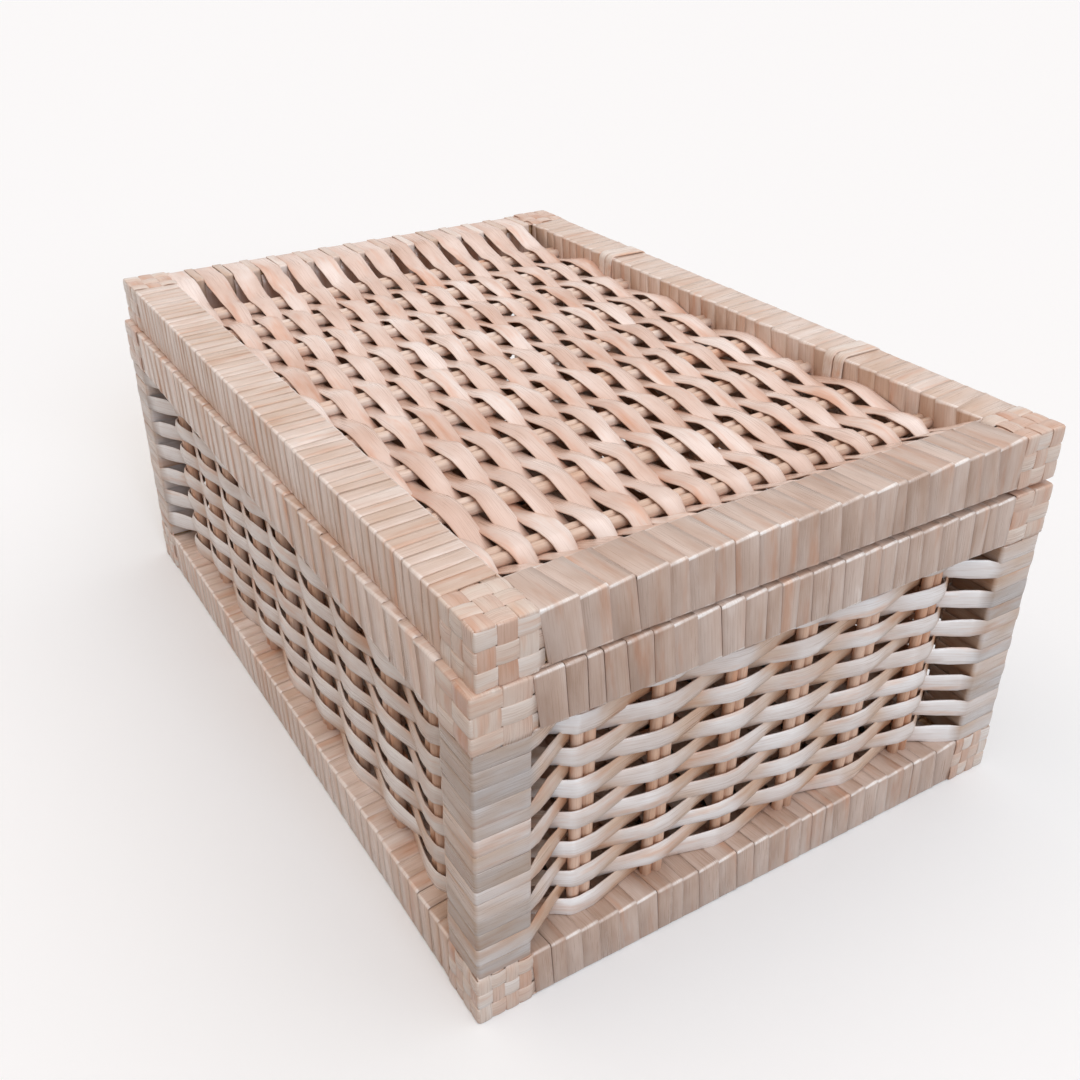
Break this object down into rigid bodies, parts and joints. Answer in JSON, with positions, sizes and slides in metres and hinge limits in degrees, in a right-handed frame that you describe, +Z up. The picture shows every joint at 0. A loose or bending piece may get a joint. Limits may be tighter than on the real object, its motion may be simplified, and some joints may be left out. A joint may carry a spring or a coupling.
{
  "type": "lidded basket",
  "caption": "Rectangular basket woven from split willow on a square frame wound with flat skein, with plaited corners and a flat woven lid bound on at the back.",
  "frame": {"origin": "centre of the underside, on the surface that the basket stands on", "axes": "+X along the long side, +Y from the front to the hinged back, +Z up"},
  "size_m": [0.4012, 0.278, 0.1785],
  "materials": {
    "batten_wood": "sawn, matt",
    "stick_willow": "peeled, satin",
    "wound_skein": "split and shaved, satin",
    "weaver_willow": "split, satin",
    "plaited_skein": "split and shaved, satin",
    "hinge_skein": "split and shaved, satin"
  },
  "bodies": {
    "basket": {"back_bottom_rail": "batten_wood", "back_bottom_winding": "wound_skein", "back_left_bottom_plait": "plaited_skein", "back_left_post": "batten_wood", "back_left_top_plait": "plaited_skein", "back_right_bottom_plait": "plaited_skein", "back_right_post": "batten_wood", "back_right_top_plait": "plaited_skein", "back_top_rail": "batten_wood", "back_top_winding_and_stakes": "stick_willow", "back_weavers": "weaver_willow", "body_left_hinge_binding": "hinge_skein", "body_right_hinge_binding": "hinge_skein", "floor_weave": "weaver_willow", "front_bottom_rail": "batten_wood", "front_bottom_winding": "wound_skein", "front_left_bottom_plait": "plaited_skein", "front_left_post": "batten_wood", "front_left_top_plait": "plaited_skein", "front_right_bottom_plait": "plaited_skein", "front_right_post": "batten_wood", "front_right_top_plait": "plaited_skein", "front_top_rail": "batten_wood", "front_top_winding_and_stakes": "stick_willow", "front_weavers": "weaver_willow", "left_bottom_rail": "batten_wood", "left_bottom_winding": "wound_skein", "left_top_rail": "batten_wood", "left_top_winding_and_stakes": "stick_willow", "left_weavers": "weaver_willow", "right_bottom_rail": "batten_wood", "right_bottom_winding": "wound_skein", "right_top_rail": "batten_wood", "right_top_winding_and_stakes": "stick_willow", "right_weavers": "weaver_willow"},
    "lid": {"lid_back_left_dowel": "batten_wood", "lid_back_left_plait": "plaited_skein", "lid_back_rail": "batten_wood", "lid_back_right_dowel": "batten_wood", "lid_back_right_plait": "plaited_skein", "lid_back_winding": "wound_skein", "lid_front_left_dowel": "batten_wood", "lid_front_left_plait": "plaited_skein", "lid_front_rail": "batten_wood", "lid_front_right_dowel": "batten_wood", "lid_front_right_plait": "plaited_skein", "lid_front_winding": "wound_skein", "lid_left_hinge_binding": "hinge_skein", "lid_left_rail": "batten_wood", "lid_left_winding": "wound_skein", "lid_right_hinge_binding": "hinge_skein", "lid_right_rail": "batten_wood", "lid_right_winding": "wound_skein", "lid_weave": "weaver_willow"}
  },
  "joints": [
    {"name": "lid_hinge", "type": "hinge", "parent": "basket", "child": "lid", "pos_m": [0, 0.13935, 0.15258], "axis": [-1, 0, 0], "range_deg": [0, 180]}
  ]
}
